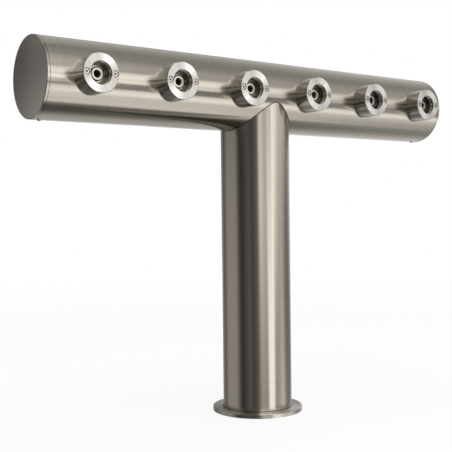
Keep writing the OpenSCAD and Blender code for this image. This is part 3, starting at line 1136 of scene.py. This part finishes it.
    def within(self, tree: Tree, *limits: tuple[Socket, Edge]) -> Socket:
        """Tells how far a direction lies within soft limits.

        Args:
            tree: the world's node tree.
            limits: parts of the direction, each with its soft edge.

        Returns:
            The share, from 0 outside one of the limits to 1 inside them all.
        """
        edges = []
        for part, (start, full) in limits:
            rises = start < full
            edges.append(add_node(tree, "ShaderNodeMapRange", {
                "interpolation_type": "SMOOTHSTEP",
                "From Min": min(start, full), "From Max": max(start, full),
                "To Min": 0.0 if rises else 1.0, "To Max": 1.0 if rises else 0.0,
            }, {"Value": part}).outputs["Result"])
        share = edges[0]
        for edge in edges[1:]:
            both = add_node(tree, "ShaderNodeMath", {"operation": "MULTIPLY"}, {0: share, 1: edge})
            share = both.outputs["Value"]
        return share

    def tint_column(self, tree: Tree, light: Socket, way: Node, front: Socket) -> Socket:
        """Tints the column's light by angle and dims it by height.

        Args:
            tree: the world's node tree.
            light: the column's light.
            way: the node with the direction's parts.
            front: how far the direction points to the front.

        Returns:
            The tinted light.
        """
        tints = [(degrees, linear(colour)) for degrees, colour in self.column_tint]
        tint = self.by_angle(tree, way.outputs["X"], front, tints)
        tinted = add_node(tree, "ShaderNodeVectorMath", {"operation": "MULTIPLY"}, {
            0: light, 1: tint,
        })
        height = add_node(tree, "ShaderNodeMapRange", {"From Min": -1.0, "From Max": 1.0}, {
            "Value": way.outputs["Z"],
        })
        kept = add_node(tree, "ShaderNodeValToRGB", links={"Fac": height.outputs["Result"]})
        set_ramp(kept, [((z + 1) / 2, share) for z, share in self.height_share])
        dimmed = add_node(tree, "ShaderNodeVectorMath", {"operation": "MULTIPLY"}, {
            0: tinted.outputs["Vector"], 1: kept.outputs["Color"],
        })
        return dimmed.outputs["Vector"]

    def walls(self, tree: Tree, way: Node) -> Socket:
        """Lays out the light of the walls by direction.

        Args:
            tree: the world's node tree.
            way: the node with the direction's parts.

        Returns:
            The light, as a share of the studio's brightest.
        """
        x, z = way.outputs["X"], way.outputs["Z"]
        turned = add_node(tree, "ShaderNodeMath", {"operation": "MULTIPLY", 1: -1.0}, {
            0: way.outputs["Y"],
        })
        front = turned.outputs["Value"]
        near, far = (
            self.by_angle(tree, z, front, self.shares(stops))
            for stops in (self.beam_near, self.beam_far)
        )
        level, low = (
            self.by_angle(tree, x, front, self.shares(self.column_left + stops))
            for stops in (self.column_level, self.column_low)
        )
        beam = add_node(tree, "ShaderNodeMix", {"data_type": "RGBA"}, {
            0: self.within(tree, (x, self.beam_far_x)), 6: near, 7: far,
        })
        column = add_node(tree, "ShaderNodeMix", {"data_type": "RGBA"}, {
            0: self.within(tree, (z, self.column_low_z)), 6: level, 7: low,
        })
        off_level = add_node(tree, "ShaderNodeMath", {"operation": "MAXIMUM"}, {
            0: self.within(tree, (z, self.beam_above_z)),
            1: self.within(tree, (z, self.beam_below_z)),
        })
        anywhere = add_node(tree, "ShaderNodeMath", {"operation": "MAXIMUM"}, {
            0: off_level.outputs["Value"],
            1: self.within(tree, (x, self.gap_left_x), (x, self.gap_right_x), (z, self.gap_z)),
        })
        share = add_node(tree, "ShaderNodeMath", {"operation": "MULTIPLY"}, {
            0: anywhere.outputs["Value"], 1: self.within(tree, (x, self.beam_x)),
        })
        both = add_node(tree, "ShaderNodeMix", {"data_type": "RGBA"}, {
            0: share.outputs["Value"],
            6: self.tint_column(tree, column.outputs[2], way, front),
            7: beam.outputs[2],
        })
        return both.outputs[2]

    def backdrop(self, tree: Tree, direction: Socket, way: Node) -> Socket:
        """Tells where metal shows the white backdrop instead of the walls.

        Args:
            tree: the world's node tree.
            direction: the direction as a vector.
            way: the node with its parts.

        Returns:
            The share, from 0 to 1.
        """
        right, _, forward = self.view.axes()
        beside, ahead = (
            add_node(tree, "ShaderNodeVectorMath", {"operation": "DOT_PRODUCT", 1: tuple(axis)}, {
                0: direction,
            }).outputs["Value"]
            for axis in (right, forward)
        )
        x, z = way.outputs["X"], way.outputs["Z"]
        open_side = add_node(tree, "ShaderNodeMath", {"operation": "MAXIMUM"}, {
            0: self.within(tree, (x, self.backdrop_left_x), (z, self.backdrop_left_z)),
            1: self.within(tree, (beside, self.backdrop_beside)),
        })
        share = add_node(tree, "ShaderNodeMath", {"operation": "MULTIPLY"}, {
            0: self.within(tree, (ahead, self.backdrop_ahead), (z, self.backdrop_z)),
            1: open_side.outputs["Value"],
        })
        return share.outputs["Value"]

    def add_world(self) -> None:
        """Adds the walls as light by direction, and a white backdrop for the camera."""
        world = bpy.data.worlds.new("studio")
        world.use_nodes = True
        bpy.context.scene.world = world
        tree = world.node_tree
        tree.nodes.clear()
        place = add_node(tree, "ShaderNodeTexCoord")
        direction = place.outputs["Generated"]
        way = add_node(tree, "ShaderNodeSeparateXYZ", links={"Vector": direction})
        room = add_node(tree, "ShaderNodeBackground", {"Strength": self.level}, {
            "Color": self.walls(tree, way),
        })
        white = add_node(tree, "ShaderNodeBackground", {"Color": WHITE, "Strength": 1.0})
        path = add_node(tree, "ShaderNodeLightPath")
        glossy = add_node(tree, "ShaderNodeMath", {"operation": "MULTIPLY"}, {
            0: path.outputs["Is Glossy Ray"], 1: self.backdrop(tree, direction, way),
        })
        clear = add_node(tree, "ShaderNodeMath", {"operation": "MAXIMUM"}, {
            0: path.outputs["Is Camera Ray"], 1: path.outputs["Is Transmission Ray"],
        })
        pale = add_node(tree, "ShaderNodeMath", {"operation": "MAXIMUM"}, {
            0: clear.outputs["Value"], 1: glossy.outputs["Value"],
        })
        mix = add_node(tree, "ShaderNodeMixShader", links={
            0: pale.outputs["Value"], 1: room.outputs["Background"],
            2: white.outputs["Background"],
        })
        add_node(tree, "ShaderNodeOutputWorld", links={"Surface": mix.outputs["Shader"]})

    def add_lamp(self) -> None:
        """Adds a soft lamp overhead that doesn't show in the metal."""
        data = bpy.data.lights.new("soft_overhead", "AREA")
        data.shape = "RECTANGLE"
        data.size, data.size_y = self.lamp_size_m
        data.energy = self.lamp_watts
        lamp = bpy.data.objects.new("soft_overhead", data)
        lamp.location = self.lamp_place_m
        aim = Vector(self.lamp_target_m) - Vector(self.lamp_place_m)
        lamp.rotation_euler = aim.to_track_quat("-Z", "Y").to_euler()
        lamp.visible_glossy = False
        bpy.context.collection.objects.link(lamp)


def main() -> None:
    """Builds the studio and then the tower, from the beam down to the flange."""
    logging.basicConfig(level=logging.INFO, format="%(name)s: %(message)s")
    view = PhotoView()
    view.build()
    Studio(view).build()
    beam = Beam()
    beam.build()
    Column(beam).build()
    BaseFlange().build()
    EndCaps().build()
    for number in TAP_NUMBERS:
        TapStation(number).build()


if __name__ == "__main__":
    main()
